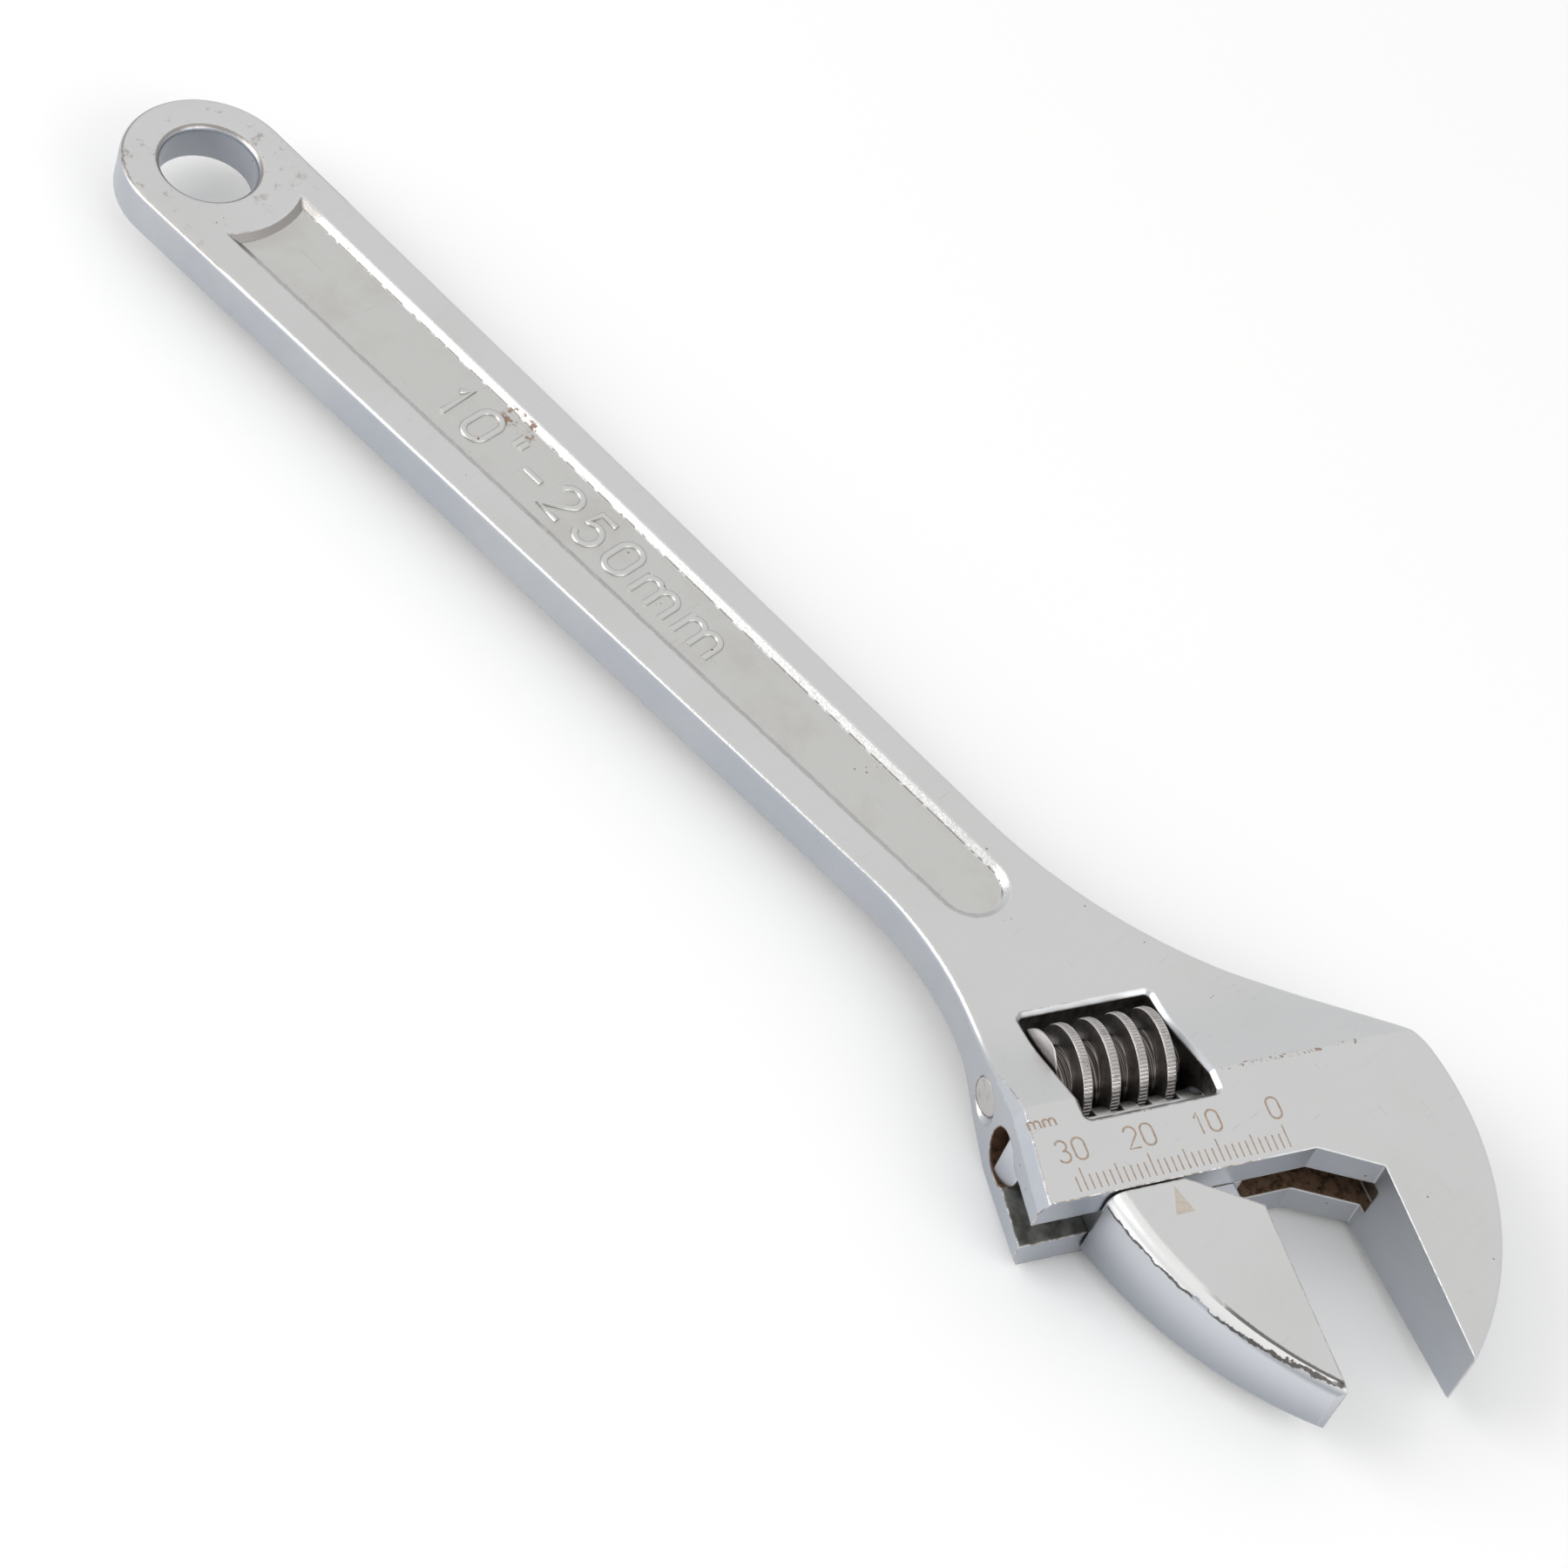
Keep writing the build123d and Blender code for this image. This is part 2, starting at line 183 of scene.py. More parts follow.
class Graph:
    """Short names for the shader nodes of one material."""

    def __init__(self, name):
        self.material = bpy.data.materials.new(name)
        self.material.use_nodes = True
        self.tree = self.material.node_tree
        self.tree.nodes.clear()
        self.coordinates = self.new("ShaderNodeTexCoord").outputs["Object"]
        self.geometry = self.new("ShaderNodeNewGeometry")

    def new(self, kind, **settings):
        node = self.tree.nodes.new(kind)
        for name, value in settings.items():
            setattr(node, name, value)
        return node

    def put(self, socket, value):
        if isinstance(value, bpy.types.NodeSocket):
            self.tree.links.new(value, socket)
        else:
            socket.default_value = value

    def math(self, operation, a, b=0.0, clamp=False):
        node = self.new("ShaderNodeMath", operation=operation, use_clamp=clamp)
        self.put(node.inputs[0], a)
        self.put(node.inputs[1], b)
        return node.outputs[0]

    def product(self, *values):
        result = values[0]
        for value in values[1:]:
            result = self.math("MULTIPLY", result, value)
        return result

    def step(self, value, low, high):
        """0 below low, 1 above high, smooth between; high may be the smaller one."""
        node = self.new("ShaderNodeMapRange", interpolation_type="SMOOTHSTEP")
        self.put(node.inputs["Value"], value)
        node.inputs["From Min"].default_value = low
        node.inputs["From Max"].default_value = high
        return node.outputs["Result"]

    def fade(self, value, ends):
        """step() between two places in millimetres."""
        return self.step(value, ends[0] * MM, ends[1] * MM)

    def between(self, value, low, high, soft):
        """1 from low to high, 0 outside by more than soft."""
        inside = self.step(value, low - soft, low)
        return self.math("MULTIPLY", inside, self.step(value, high + soft, high))

    def span(self, value, ends, soft):
        """between() two places in millimetres."""
        return self.between(value, ends[0] * MM, ends[1] * MM, soft * MM)

    def stretched(self, scale, turn):
        """Coordinates scaled, for marks that are long along an axis of small scale, and then turned."""
        node = self.new("ShaderNodeMapping")
        self.put(node.inputs["Vector"], self.coordinates)
        node.inputs["Scale"].default_value = scale
        node.inputs["Rotation"].default_value = (0, 0, turn)
        return node.outputs["Vector"]

    def noise(self, size_mm, detail=3.0, rough=0.55, vector=None):
        """Noise whose lumps are about size_mm across."""
        node = self.new("ShaderNodeTexNoise")
        self.put(node.inputs["Vector"], vector if vector is not None else self.coordinates)
        node.inputs["Scale"].default_value = 1 / (size_mm * MM)
        node.inputs["Detail"].default_value = detail
        node.inputs["Roughness"].default_value = rough
        return node.outputs["Fac"]

    def cells(self, size_mm):
        """Distance from the nearest of scattered points, in cells of about size_mm."""
        node = self.new("ShaderNodeTexVoronoi")
        self.put(node.inputs["Vector"], self.coordinates)
        node.inputs["Scale"].default_value = 1 / (size_mm * MM)
        return node.outputs["Distance"]

    def blend(self, factor, a, b):
        """Colour a where factor is 0, b where it is 1."""
        node = self.new("ShaderNodeMix", data_type="RGBA")
        self.put(node.inputs["Factor"], factor)
        self.put(node.inputs[6], a)
        self.put(node.inputs[7], b)
        return node.outputs[2]

    def value(self, factor, a, b):
        """Number a where factor is 0, b where it is 1."""
        node = self.new("ShaderNodeMix", data_type="FLOAT")
        self.put(node.inputs["Factor"], factor)
        self.put(node.inputs[2], a)
        self.put(node.inputs[3], b)
        return node.outputs[0]

    def parts(self, vector):
        node = self.new("ShaderNodeSeparateXYZ")
        self.put(node.inputs[0], vector)
        return node.outputs

    def dot(self, vector, direction):
        node = self.new("ShaderNodeVectorMath", operation="DOT_PRODUCT")
        self.put(node.inputs[0], vector)
        node.inputs[1].default_value = direction
        return node.outputs["Value"]

    def head_coordinates(self):
        """U and V of the head frame, in metres."""
        offset = self.new("ShaderNodeVectorMath", operation="SUBTRACT")
        self.put(offset.inputs[0], self.coordinates)
        offset.inputs[1].default_value = HEAD_ORIGIN
        return self.dot(offset.outputs[0], SLIDE), self.dot(offset.outputs[0], ACROSS)

    def soft_edge(self, radius_mm):
        """Normal rounded over the edges, and how far it leans from the flat one."""
        bevel = self.new("ShaderNodeBevel", samples=6)
        bevel.inputs["Radius"].default_value = radius_mm * MM
        lean = self.new("ShaderNodeVectorMath", operation="DOT_PRODUCT")
        self.put(lean.inputs[0], bevel.outputs["Normal"])
        self.put(lean.inputs[1], self.geometry.outputs["True Normal"])
        return bevel.outputs["Normal"], self.math("SUBTRACT", 1.0, lean.outputs["Value"], clamp=True)

    def bump(self, height, distance_mm, normal=None):
        node = self.new("ShaderNodeBump")
        node.inputs["Distance"].default_value = distance_mm * MM
        node.inputs["Strength"].default_value = 1.0
        self.put(node.inputs["Height"], height)
        if normal is not None:
            self.put(node.inputs["Normal"], normal)
        return node.outputs["Normal"]

    def finish(self, color, roughness, normal, metallic):
        shader = self.new("ShaderNodeBsdfPrincipled")
        self.put(shader.inputs["Base Color"], color)
        self.put(shader.inputs["Roughness"], roughness)
        self.put(shader.inputs["Metallic"], metallic)
        self.put(shader.inputs["Normal"], normal)
        output = self.new("ShaderNodeOutputMaterial")
        self.tree.links.new(shader.outputs[0], output.inputs["Surface"])
        return self.material


FACE_GREY = (0.74, 0.745, 0.745, 1)
# Painted shade: the side walls' darker bluish grey
WALL_SHADE_GREY = (0.45, 0.475, 0.52, 1)
EDGE_HIGHLIGHT = (0.90, 0.90, 0.90, 1)
DARK_FLECK = (0.16, 0.13, 0.11, 1)
RUST = (0.20, 0.085, 0.035, 1)
TAN_WEAR = (0.46, 0.34, 0.28, 1)
CLOUD_GREY = (0.65, 0.645, 0.63, 1)
STREAK_GREY = (0.59, 0.59, 0.60, 1)
SCRATCH_GREY = (0.42, 0.42, 0.43, 1)
HOLE_STAIN = (0.32, 0.25, 0.20, 1)
PANEL_GREY = (0.68, 0.675, 0.66, 1)
PANEL_DUST = (0.54, 0.52, 0.49, 1)
PANEL_ARC_SHADE = (0.24, 0.21, 0.19, 1)
BEVEL_DULL = (0.58, 0.58, 0.57, 1)
BEVEL_HIGHLIGHT = (0.84, 0.84, 0.84, 1)
WINDOW_WALL_DARK = (0.035, 0.03, 0.028, 1)
WINDOW_WALL_DIM = (0.16, 0.145, 0.13, 1)
SLOT_DARK = (0.13, 0.135, 0.12, 1)
SLOT_LIGHT = (0.27, 0.275, 0.26, 1)
CRUST_DARK = (0.06, 0.035, 0.02, 1)
CRUST_LIGHT = (0.36, 0.24, 0.16, 1)
BORE_DARK = (0.05, 0.03, 0.018, 1)
BORE_LIGHT = (0.20, 0.12, 0.07, 1)
BACK_SHADED = (0.36, 0.38, 0.42, 1)
BACK_LIT = (0.62, 0.64, 0.68, 1)
BACK_HIGHLIGHT = (0.97, 0.97, 0.97, 1)
BACK_LINE = (0.10, 0.085, 0.075, 1)
CROWN_DARK = (0.08, 0.07, 0.06, 1)
KNURL_LIT = (0.66, 0.63, 0.615, 1)
KNURL_SHADED = (0.065, 0.055, 0.05, 1)
PIN_LIT = (0.60, 0.59, 0.58, 1)
PIN_SHADED = (0.50, 0.49, 0.48, 1)
OIL_STAIN = (0.10, 0.08, 0.07, 1)
RING_GREY = (0.50, 0.47, 0.46, 1)
TURNED_EDGE_HIGHLIGHT = (0.86, 0.84, 0.82, 1)
ETCH_DARK = (0.34, 0.25, 0.19, 1)
ETCH_LIGHT = (0.48, 0.38, 0.31, 1)
POINTER_DARK = (0.50, 0.44, 0.38, 1)
POINTER_LIGHT = (0.60, 0.55, 0.49, 1)
MARK_DULL = (0.52, 0.51, 0.49, 1)
MARK_RUBBED = (0.72, 0.72, 0.71, 1)
WIRE_GREY = (0.34, 0.32, 0.31, 1)
WIRE_BROWN = (0.13, 0.10, 0.08, 1)
PAPER_WHITE = (0.96, 0.96, 0.96, 1)
PAPER_SHADE = (0.94, 0.94, 0.945, 1)
SKY_LOW = (0.76, 0.765, 0.78, 1)
SKY_HIGH = (0.86, 0.86, 0.85, 1)


def rust_specks(g, size_mm, share):
    """Sparse ragged specks; a larger share shows more of the scattered dots."""
    dots = g.step(g.math("ADD", g.cells(size_mm), g.product(g.noise(0.4), 0.25)), 0.3, 0.22)
    where = g.step(g.noise(7.0, 2.0), 1 - share, 1 - share + 0.04)
    return g.product(dots, where)


def paint_panel(g, color, roughness, x, y, height, tilt, facing_y):
    """The handle's panels: grained floor, a painted highlight on the rough bevel on the +Y side, painted
    shade on the arc by the hole.
    """
    handle = g.fade(x, HANDLE_END_X)
    low = g.fade(height, (PANEL_FLOOR + 0.4, PANEL_FLOOR + 0.2))
    floor = g.product(low, g.step(tilt, 0.9, 0.97), handle)
    sunk = g.fade(height, (HANDLE_FACE - 0.02, HANDLE_FACE - 0.1))
    slant = g.product(sunk, g.between(tilt, 0.7, 0.9, 0.05), handle)
    dust = g.step(g.noise(9.0, 5.0, 0.6), 0.45, 0.7)
    color = g.blend(g.product(floor, 0.85), color, PANEL_GREY)
    color = g.blend(g.product(floor, dust, 0.35), color, PANEL_DUST)
    # Painted highlight on the panel's bevel that faces -Y, broken into grain
    sparkle = g.step(g.noise(0.3, 4.0, 0.7), 0.32, 0.68)
    lit = g.product(slant, g.step(facing_y, -0.2, -0.4))
    color = g.blend(lit, color, g.blend(sparkle, BEVEL_DULL, BEVEL_HIGHLIGHT))
    # A broken dark line along the foot of that bevel, in the corner with the floor
    foot = g.fade(height, (PANEL_FLOOR + 0.22, PANEL_FLOOR + 0.1))
    foot = g.product(lit, foot, g.step(g.noise(1.5), 0.4, 0.5))
    color = g.blend(g.product(foot, 0.75), color, DARK_FLECK)
    # Painted shade on the end bevel by the hole
    arc_end_shade = g.product(slant, g.fade(x, PANEL_ARC_X))
    color = g.blend(g.product(arc_end_shade, 0.7), color, PANEL_ARC_SHADE)
    cast = g.math("ADD", floor, slant, clamp=True)
    return color, g.value(floor, roughness, 0.40), cast


def paint_inside(g, color, roughness, u, v, z, tilt):
    """Where the plate is hidden: near-black window walls, dark grey and rust in the slot, rust in the bore.
    """
    # The window's walls painted near-black with a lighter mottle
    window = g.product(g.span(u, WINDOW_U, 0.1), g.span(v, WINDOW_V, 0.1), g.step(tilt, 0.62, 0.5))
    wall_mottle = g.step(g.noise(1.8, 5.0, 0.7), 0.3, 0.65)
    color = g.blend(window, color, g.blend(wall_mottle, WINDOW_WALL_DARK, WINDOW_WALL_DIM))
    roughness = g.value(window, roughness, 0.5)
    slot = g.fade(g.math("ABSOLUTE", z), (SLOT_HALF + 0.05, SLOT_HALF - 0.05))
    slot = g.product(slot, g.step(tilt, 0.8, 0.9), g.fade(u, SLOT_START_U), g.fade(v, SLOT_TOP_V))
    crust = g.step(g.noise(1.2, 5.0, 0.7), 0.3, 0.6)
    brown = g.blend(crust, CRUST_DARK, CRUST_LIGHT)
    grey = g.blend(g.step(g.noise(3.0, 3.0), 0.4, 0.65), SLOT_DARK, SLOT_LIGHT)
    color = g.blend(slot, color, g.blend(g.fade(u, SLOT_RUST_U), grey, brown))
    roughness = g.value(slot, roughness, 0.7)
    aside = g.math("SUBTRACT", v, BORE_V * MM)
    radius = g.math("SQRT", g.math("ADD", g.product(aside, aside), g.product(z, z)))
    bore = g.product(g.fade(radius, BORE_EDGE), g.fade(u, BORE_END_U))
    color = g.blend(bore, color, g.blend(crust, BORE_DARK, BORE_LIGHT))
    return color, g.value(bore, roughness, 0.75)


def paint_jaw_back(g, color, roughness, v, z, tilt, facing_u):
    """The jaw's rounded back: painted shade on its wall, a painted highlight band over a broken dark line,
    and a broken dark band along the upper edge.
    """
    back = g.step(facing_u, -0.05, -0.2)
    ragged = g.product(g.math("SUBTRACT", g.noise(2.2, 5.0, 0.7), 0.5), BAND_RAGGED * MM)
    ragged = g.math("ADD", z, ragged)
    # Painted shade on the back's wall: darker low down, lighter toward the top
    shade = g.blend(g.fade(z, BACK_SHADE_Z), BACK_SHADED, BACK_LIT)
    color = g.blend(g.product(back, g.step(tilt, 0.5, 0.2)), color, shade)
    # Painted highlight: a near-white band along the top of the rounding
    band = g.product(back, g.fade(ragged, (BAND_Z, BAND_Z + 0.12)))
    color = g.blend(band, color, BACK_HIGHLIGHT)
    line = g.span(ragged, (BAND_Z - 0.28, BAND_Z - 0.02), 0.12)
    line = g.product(back, line, g.step(g.noise(6.0, 3.0), 0.38, 0.48))
    color = g.blend(g.product(line, 0.9), color, BACK_LINE)
    # A broken dark band where the top begins to round over the back
    crown = g.product(g.between(tilt, 0.93, 0.985, 0.01), g.step(facing_u, -0.06, -0.14))
    crown = g.product(crown, g.fade(v, CROWN_V), g.fade(z, CROWN_Z), g.step(g.noise(4.0, 3.0), 0.3, 0.42))
    color = g.blend(g.product(crown, 0.85), color, CROWN_DARK)
    return color, g.value(band, roughness, 0.26)


def plated(name, is_body):
    """Satin chrome plate: light ground faces, side walls painted darker and bluer as painted shade, painted
    highlights on the edges, scratches, specks.
    """
    g = Graph(name)
    x, y, z = g.parts(g.coordinates)
    u, v = g.head_coordinates()
    normal = g.geometry.outputs["Normal"]
    _, facing_y, nz = g.parts(normal)
    facing_u = g.dot(normal, SLIDE)
    height = g.math("ABSOLUTE", z)
    tilt = g.math("ABSOLUTE", nz)
    above = g.step(nz, 0.3, 0.6)
    level = g.step(tilt, 0.45, 0.88)
    rounded, lean = g.soft_edge(0.4)
    edge = g.step(lean, 0.004, 0.09)

    cloud = g.noise(26.0, 4.0)
    streak = g.noise(1.1, 3.0, 0.6, g.stretched((1.0, 0.12, 1.0), radians(23)))
    # Painted shade: walls darker and bluer than the level faces
    color = g.blend(level, WALL_SHADE_GREY, FACE_GREY)
    color = g.blend(g.product(g.step(cloud, 0.40, 0.75), 0.30), color, CLOUD_GREY)
    color = g.blend(g.product(g.step(streak, 0.5, 0.8), 0.12), color, STREAK_GREY)
    roughness = g.value(level, 0.34, 0.30)
    roughness = g.math("ADD", roughness, g.product(g.math("SUBTRACT", streak, 0.5), 0.12))
    relief = g.product(g.noise(0.9, 2.0), 0.5)
    worn = g.noise(1.4, 5.0, 0.75)
    if is_body:
        color, roughness, cast = paint_panel(g, color, roughness, x, y, height, tilt, facing_y)
        color, roughness = paint_inside(g, color, roughness, u, v, z, tilt)
        relief = g.math("ADD", relief, g.product(g.noise(0.55, 4.0, 0.7), cast, 5.0))
        crease = g.product(g.span(v, CREASE_V, 0.15), g.span(u, CREASE_U, 1), above)
        crease = g.product(crease, g.step(g.noise(0.9, 5.0, 0.7), 0.52, 0.58))
        crease = g.product(crease, g.step(g.noise(4.0, 3.0), 0.42, 0.5))
        stain = g.product(g.fade(x, HOLE_STAIN_X), above, g.step(g.noise(2.6, 5.0, 0.7), 0.56, 0.66))
        blot = g.product(g.span(x, BLOT_X, 1), g.span(y, BLOT_Y, 0.5), above, g.step(worn, 0.5, 0.56))
        color = g.blend(g.product(stain, 0.5), color, HOLE_STAIN)
        oxide = g.math("ADD", crease, blot, clamp=True)
        side = g.fade(y, LOWER_RIM_Y)
    else:
        color, roughness = paint_jaw_back(g, color, roughness, v, z, tilt, facing_u)
        oxide = 0.0
        side = 0.5
    # Painted highlight along the edges
    color = g.blend(g.product(edge, 0.8), color, EDGE_HIGHLIGHT)
    chips = g.product(edge, g.step(worn, 0.46, 0.53))
    tan = g.product(edge, side, g.step(g.noise(2.2, 4.0, 0.7), 0.44, 0.53))
    color = g.blend(g.product(tan, 0.75), color, TAN_WEAR)
    color = g.blend(g.product(chips, side, 0.85), color, DARK_FLECK)
    specks = rust_specks(g, 1.2, 0.36 if is_body else 0.2)
    oxide = g.math("ADD", oxide, specks, clamp=True)
    color = g.blend(g.product(oxide, 0.8), color, RUST)
    metallic = g.value(oxide, 1.0, 0.2)
    roughness = g.value(oxide, roughness, 0.75)
    scratch_a = g.noise(0.3, 2.0, 0.5, g.stretched((1.0, 0.03, 1.0), radians(31)))
    scratch_b = g.noise(0.3, 2.0, 0.5, g.stretched((0.03, 1.0, 1.0), radians(-14)))
    scratches = g.math("ADD", g.step(scratch_a, 0.71, 0.76), g.step(scratch_b, 0.72, 0.77), clamp=True)
    color = g.blend(g.product(scratches, level, 0.35), color, SCRATCH_GREY)
    relief = g.math("SUBTRACT", relief, g.product(chips, 4.0))
    return g.finish(color, roughness, g.bump(relief, 0.005, rounded), metallic)


def turned(name, light, dark, radii):
    """Turned steel round the knurl's axis: lathe rings, oil stains, painted shade in the grooves, lighter
    crests, painted highlights on the flanks facing -U and on the edges.
    """
    g = Graph(name)
    offset = g.new("ShaderNodeVectorMath", operation="SUBTRACT")
    g.put(offset.inputs[0], g.coordinates)
    offset.inputs[1].default_value = head_place(0, KNURL_V)
    along = g.dot(offset.outputs[0], SLIDE)
    length = g.new("ShaderNodeVectorMath", operation="LENGTH")
    g.put(length.inputs[0], offset.outputs[0])
    squared = g.math("POWER", length.outputs["Value"], 2.0)
    squared = g.math("SUBTRACT", squared, g.math("POWER", along, 2.0))
    radius = g.math("SQRT", g.math("MAXIMUM", squared, 0.0))
    high = g.fade(radius, radii)

    rings = g.new("ShaderNodeTexNoise")
    rings.noise_dimensions = "1D"
    g.put(rings.inputs["W"], g.math("MULTIPLY", along, 1 / (0.3 * MM)))
    rings.inputs["Scale"].default_value = 1.0
    rings.inputs["Detail"].default_value = 4.0
    rings = rings.outputs["Fac"]
    stain = g.noise(1.6, 4.0, 0.65)
    # Painted shade: darker at small radius, in the grooves, lighter on the crests
    color = g.blend(high, dark, light)
    gaps = g.span(radius, (radii[1] + 0.36, radii[1] + 0.42), 0.03)
    color = g.blend(g.product(gaps, 0.55), color, dark)
    # Painted highlight on the flanks that face -U
    flank = g.step(g.dot(g.geometry.outputs["Normal"], SLIDE), -0.35, -0.7)
    color = g.blend(g.product(flank, 0.8), color, light)
    color = g.blend(g.product(g.step(stain, 0.48, 0.72), 0.5), color, OIL_STAIN)
    color = g.blend(g.product(g.step(rings, 0.46, 0.62), 0.5), color, RING_GREY)
    rounded, lean = g.soft_edge(0.16)
    edge = g.step(lean, 0.01, 0.15)
    # Painted highlight along the edges
    color = g.blend(g.product(edge, 0.7), color, TURNED_EDGE_HIGHLIGHT)
    roughness = g.math("ADD", 0.2, g.product(stain, 0.22))
    relief = g.math("ADD", rings, g.product(g.noise(0.3, 3.0), 0.8))
    return g.finish(color, roughness, g.bump(relief, 0.012, rounded), 1.0)


def etched(name, dark, light):
    """Matt tan oxide left by etching the scale into the plate."""
    g = Graph(name)
    patch = g.noise(0.5, 4.0, 0.7)
    color = g.blend(g.step(patch, 0.3, 0.7), dark, light)
    roughness = g.math("ADD", 0.5, g.product(patch, 0.2))
    return g.finish(color, roughness, g.bump(g.noise(0.15), 0.008), 0.35)


def embossed(name):
    """The raised size mark: the panel's plate, brighter where it is rubbed."""
    g = Graph(name)
    _, _, z = g.parts(g.coordinates)
    top = g.step(z, (PANEL_FLOOR + 0.05) * MM, (PANEL_FLOOR + MARK_PROUD) * MM)
    color = g.blend(top, MARK_DULL, MARK_RUBBED)
    specks = rust_specks(g, 1.4, 0.42)
    color = g.blend(specks, color, RUST)
    sand = g.noise(0.5, 4.0, 0.7)
    roughness = g.math("ADD", 0.26, g.product(sand, 0.15))
    return g.finish(color, g.value(specks, roughness, 0.8), g.bump(sand, 0.05), g.value(specks, 1.0, 0.1))


def wire(name):
    """Dull spring wire."""
    g = Graph(name)
    stain = g.noise(0.9, 4.0, 0.7)
    color = g.blend(g.step(stain, 0.4, 0.65), WIRE_GREY, WIRE_BROWN)
    return g.finish(color, g.math("ADD", 0.35, g.product(stain, 0.2)), g.bump(stain, 0.02), 1.0)


def paper(name):
    """The pale floor."""
    g = Graph(name)
    tone = g.noise(90.0, 2.0)
    color = g.blend(g.product(tone, 0.3), PAPER_WHITE, PAPER_SHADE)
    return g.finish(color, 0.9, g.bump(g.noise(2.0), 0.01), 0.0)


def dress(node, material):
    """Give a CAD node's slots one material."""
    slots = NODES[node].data.materials
    if not slots:
        slots.append(material)
    for i in range(len(slots)):
        slots[i] = material


# ---------------------------------------------------------------- strokes and marks


def arc(cx, cy, rx, ry, start, end, steps=18):
    """Points along an ellipse, angles in degrees."""
    turn = [radians(start + (end - start) * i / steps) for i in range(steps + 1)]
    return [(cx + rx * cos(a), cy + ry * sin(a)) for a in turn]


def glyph(letter, w):
    """The strokes of a character one unit high and w wide, as lists of points."""
    r = w / 2
    if letter == "0":
        return [arc(r, 1 - r, r, r, 0, 180) + arc(r, r, r, r, 180, 360) + [(w, 1 - r)]]
    if letter == "1":
        return [[(0.15 * w, 0.76), (0.62 * w, 1.0), (0.62 * w, 0.0)]]
    if letter == "2":
        return [arc(r, 1 - r, r, r, 165, -35) + [(0, 0), (w, 0)]]
    if letter == "3":
        upper = arc(r, 0.755, 0.9 * r, 0.245, 160, -85, 14)
        lower = arc(r, 0.265, r, 0.265, 85, -160, 14)
        return [upper + lower]
    if letter == "5":
        return [[(0.92 * w, 1), (0.14 * w, 1), (0.08 * w, 0.56)] + arc(r, 0.33, r, 0.33, 125, -155)]
    if letter == "m":
        hump = 0.72
        q = w / 4
        first = [(0, 0), (0, hump)]
        left = [(0, hump - q)] + arc(q, hump - q, q, q, 180, 0, 10) + [(2 * q, 0)]
        right = [(2 * q, hump - q)] + arc(3 * q, hump - q, q, q, 180, 0, 10) + [(4 * q, 0)]
        return [first, left, right]
    if letter == '"':
        return [[(0.3 * w, 1), (0.3 * w, 0.74)], [(0.7 * w, 1), (0.7 * w, 0.74)]]
    if letter == "-":
        return [[(0, 0.45), (w, 0.45)]]
    raise ValueError(f"no strokes for {letter}")


def word(text, size, widths, gap):
    """Strokes of a word from its left end, and its length."""
    strokes = []
    x = 0.0
    for letter in text:
        w = widths[letter]
        for line in glyph(letter, w / size):
            strokes.append([(x + a * size, b * size) for a, b in line])
        x += w + gap
    return strokes, x - gap


def draw(name, strokes, width, rise, to_place, material, body, sides=3):
    """One mesh of flattened rounded strokes, laid on a surface by to_place(a, b, height)."""
    curve = bpy.data.curves.new(name + "_line", "CURVE")
    curve.dimensions = "3D"
    curve.bevel_depth = width / 2
    curve.bevel_resolution = sides
    curve.use_fill_caps = True
    for points in strokes:
        spline = curve.splines.new("POLY")
        closed = points[0] == points[-1]
        kept = points[:-1] if closed else points
        spline.points.add(len(kept) - 1)
        for target, (a, b) in zip(spline.points, kept):
            target.co = (a, b, 0, 1)
        spline.use_cyclic_u = closed
    holder = bpy.data.objects.new(name + "_line", curve)
    bpy.context.scene.collection.objects.link(holder)
    bpy.context.view_layer.update()
    solid = holder.evaluated_get(bpy.context.evaluated_depsgraph_get())
    mesh = bpy.data.meshes.new_from_object(solid)
    bpy.data.objects.remove(holder)
    for vertex in mesh.vertices:
        a, b, h = vertex.co
        vertex.co = to_place(a, b, h * 2 * rise / width)
    mesh.materials.clear()
    mesh.materials.append(material)
    piece = bpy.data.objects.new(name, mesh)
    bpy.context.scene.collection.objects.link(piece)
    for face in mesh.polygons:
        face.use_smooth = True
    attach(piece, body)


def on_ground_face(node, sample):
    """A function that lays head frame points on a node's sloping upper face, found from a sample."""
    u, v = sample
    low = surface_height(node, head_place(u, v)) / MM
    high = surface_height(node, head_place(u, v + FACE_SAMPLE)) / MM
    slope = (high - low) / FACE_SAMPLE

    def place(a, b, h):
        return head_place(a, b, low + slope * (b - v) + h)

    return place


def make_scale(material):
    """Millimetre ticks and their numbers on the cheek."""
    place = on_ground_face("wrench_body", CHEEK_SAMPLE)
    ticks = []
    for k in range(TICKS):
        length = TICK_LENGTHS.get(k % 10, TICK_SHORT)
        ticks.append([(-k, TICK_START), (-k, length)])
    draw("scale_ticks", ticks, TICK_WIDTH, MARK_RISE, place, material, "wrench")
    for number in (0, 10, 20, 30):
        strokes, length = word(str(number), DIGIT_HEIGHT, DIGIT_WIDTHS, DIGIT_GAP)
        shifted = [[(a - length / 2 - number, b + DIGIT_BASE_V) for a, b in line] for line in strokes]
        name = f"scale_number_{number}"
        draw(name, shifted, DIGIT_STROKE, MARK_RISE, place, material, "wrench")
    strokes, _ = word("mm", UNIT_HEIGHT, UNIT_WIDTHS, UNIT_GAP)
    shifted = [[(a + UNIT_PLACE[0], b + UNIT_PLACE[1]) for a, b in line] for line in strokes]
    draw("scale_unit", shifted, DIGIT_STROKE, MARK_RISE, place, material, "wrench")


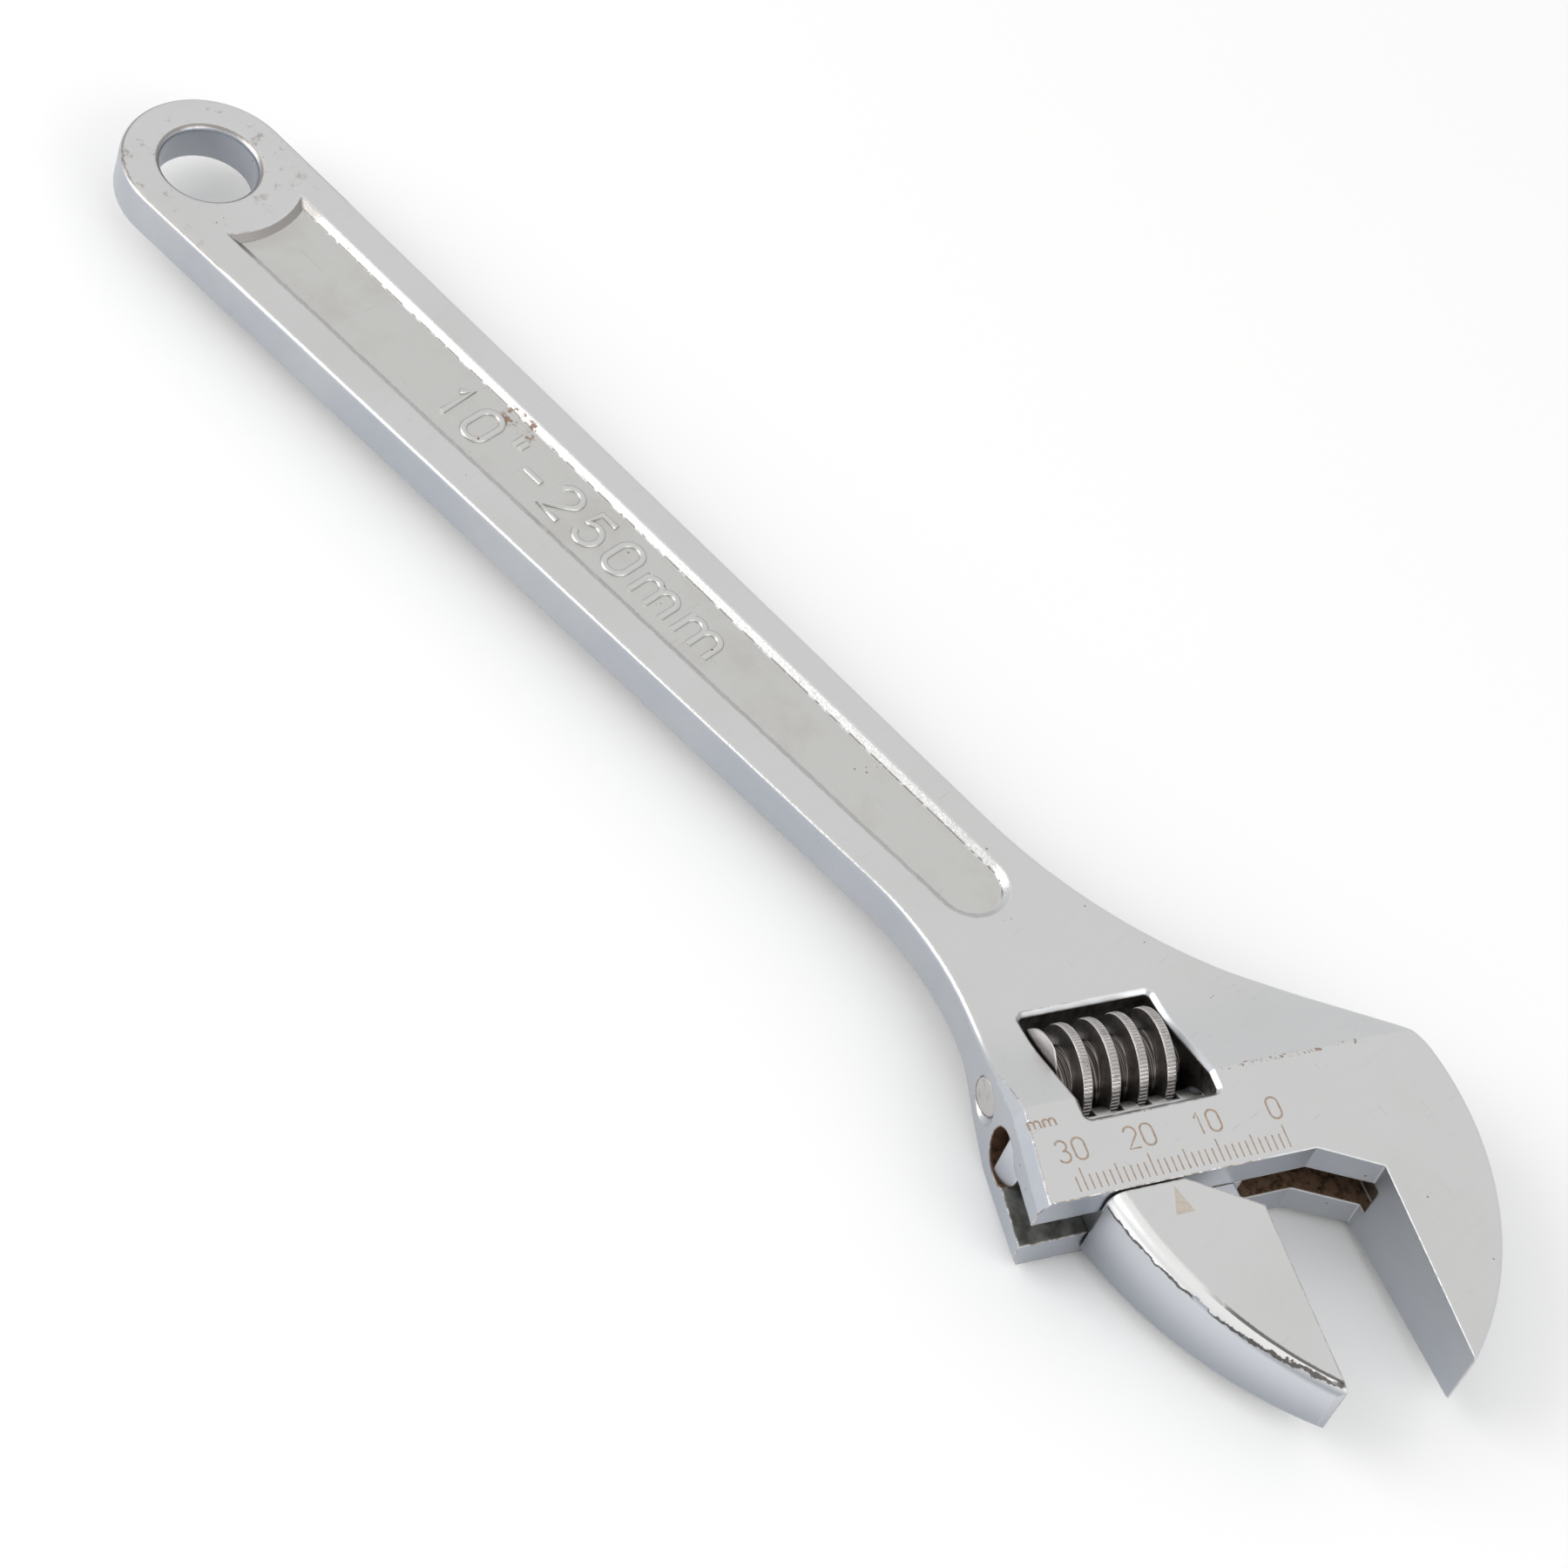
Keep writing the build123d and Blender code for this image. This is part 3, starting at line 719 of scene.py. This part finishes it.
def make_pointer(material):
    """The index triangle on the movable jaw, as closely laid strokes."""
    place = on_ground_face("movable_jaw", JAW_SAMPLE)
    tip_u, tip_v = POINTER_TIP
    lines = []
    for i in range(POINTER_LINES):
        share = (i + 0.5) / POINTER_LINES
        v = tip_v + (POINTER_BASE_V - tip_v) * share
        lines.append([(tip_u - POINTER_HALF * share, v), (tip_u + POINTER_HALF * share, v)])
    draw("jaw_pointer", lines, POINTER_STROKE, MARK_RISE, place, material, "jaw")


def make_size_mark(material):
    """The raised nominal size on the panel's floor."""
    strokes, _ = word('10"-250mm', MARK_HEIGHT, MARK_WIDTHS, MARK_GAP)

    def place(a, b, h):
        return Vector((MARK_START_X + a, b - MARK_HEIGHT / 2, PANEL_FLOOR + h)) * MM

    draw("size_mark", strokes, MARK_STROKE, MARK_PROUD, place, material, "wrench", MARK_SIDES)


def make_serrations(material):
    """Fine teeth along the crest of the knurl's thread, following its helix."""
    last = int((KNURL_LENGTH / PITCH + 2) * TEETH_PER_TURN)
    half = TOOTH_SHARE * tau / TEETH_PER_TURN
    lowest = KNURL_START_U + TOOTH_MARGIN
    highest = KNURL_START_U + KNURL_LENGTH - TOOTH_MARGIN
    vertices = []
    faces = []
    for i in range(-TEETH_PER_TURN, last):
        angle = -tau * i / TEETH_PER_TURN
        middle = CREST_U + PITCH * (i / TEETH_PER_TURN - 2)
        start = middle - TOOTH_LENGTH / 2
        end = middle + TOOTH_LENGTH / 2
        if start < lowest or end > highest:
            continue
        first = len(vertices)
        for u in (start, start + TOOTH_RAMP, end - TOOTH_RAMP, end):
            tall = TOOTH_HEIGHT if start < u < end else TOOTH_RAMP_FOOT
            for across, rise in TOOTH_OUTLINE:
                r = KNURL_RADIUS - TOOTH_SUNK + rise * (tall + TOOTH_SUNK)
                a = angle + across * 2 * half
                vertices.append(head_place(u, KNURL_V + r * cos(a), r * sin(a)))
        for ring in range(3):
            for side in range(3):
                a = first + 4 * ring + side
                faces.append((a, a + 1, a + 5, a + 4))
            a = first + 4 * ring
            faces.append((a + 3, a, a + 4, a + 7))
        faces.append((first, first + 3, first + 2, first + 1))
        faces.append((first + 12, first + 13, first + 14, first + 15))
    mesh = bpy.data.meshes.new("knurl_serrations")
    mesh.from_pydata(vertices, [], faces)
    mesh.materials.append(material)
    piece = bpy.data.objects.new("knurl_serrations", mesh)
    bpy.context.scene.collection.objects.link(piece)
    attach(piece, "knurl")


# ---------------------------------------------------------------- stage


def make_floor():
    """A large flat sheet just under the object."""
    size = FLOOR_HALF
    z = cad_low[2] - FLOOR_GAP
    mesh = bpy.data.meshes.new("floor")
    corners = [(-size, -size, z), (size, -size, z), (size, size, z), (-size, size, z)]
    mesh.from_pydata(corners, [], [(0, 1, 2, 3)])
    mesh.materials.append(paper("floor_paper"))
    floor = bpy.data.objects.new("floor", mesh)
    bpy.context.scene.collection.objects.link(floor)


def make_light(name, direction, distance, size, power):
    """A soft square light that faces the object."""
    light = bpy.data.lights.new(name, "AREA")
    light.shape = "SQUARE"
    light.size = size
    light.energy = power
    lamp = bpy.data.objects.new(name, light)
    bpy.context.scene.collection.objects.link(lamp)
    target = Vector(LIGHT_TARGET)
    lamp.location = target + Vector(direction).normalized() * distance
    lamp.rotation_euler = (target - lamp.location).to_track_quat("-Z", "Y").to_euler()


def make_world():
    """An even white studio, a little darker toward the horizon."""
    world = bpy.data.worlds.new("studio")
    bpy.context.scene.world = world
    world.use_nodes = True
    tree = world.node_tree
    tree.nodes.clear()
    coordinates = tree.nodes.new("ShaderNodeTexCoord")
    parts = tree.nodes.new("ShaderNodeSeparateXYZ")
    ramp = tree.nodes.new("ShaderNodeValToRGB")
    background = tree.nodes.new("ShaderNodeBackground")
    output = tree.nodes.new("ShaderNodeOutputWorld")
    tree.links.new(coordinates.outputs["Generated"], parts.inputs[0])
    tree.links.new(parts.outputs["Z"], ramp.inputs["Fac"])
    tree.links.new(ramp.outputs["Color"], background.inputs["Color"])
    tree.links.new(background.outputs[0], output.inputs["Surface"])
    stops = ramp.color_ramp.elements
    stops[0].position = 0.1
    stops[0].color = SKY_LOW
    stops[1].position = 0.75
    stops[1].color = SKY_HIGH
    background.inputs["Strength"].default_value = SKY_STRENGTH


def make_camera():
    """The photograph's viewpoint."""
    data = bpy.data.cameras.new("camera")
    data.lens = CAMERA_LENS
    data.sensor_width = CAMERA_SENSOR
    data.clip_start = 0.01
    camera = bpy.data.objects.new("camera", data)
    camera.location = CAMERA_PLACE
    camera.rotation_euler = Euler([radians(a) for a in CAMERA_ANGLES], "XYZ")
    bpy.context.scene.collection.objects.link(camera)
    bpy.context.scene.camera = camera


def main():
    bpy.context.scene.view_settings.view_transform = "Standard"
    dress("wrench_body", plated("body_plate", True))
    dress("movable_jaw", plated("jaw_plate", False))
    knurl = turned("knurl_steel", KNURL_LIT, KNURL_SHADED, KNURL_SHINE_RADII)
    dress("knurl", knurl)
    dress("knurl_pin", turned("pin_steel", PIN_LIT, PIN_SHADED, PIN_SHINE_RADII))
    dress("knurl_spring", wire("spring_wire"))
    make_scale(etched("scale_etch", ETCH_DARK, ETCH_LIGHT))
    make_pointer(etched("pointer_etch", POINTER_DARK, POINTER_LIGHT))
    make_size_mark(embossed("size_mark_plate"))
    make_serrations(knurl)
    make_floor()
    make_world()
    for name, (direction, distance, size, power) in LIGHTS.items():
        make_light(name, direction, distance, size, power)
    make_camera()


main()
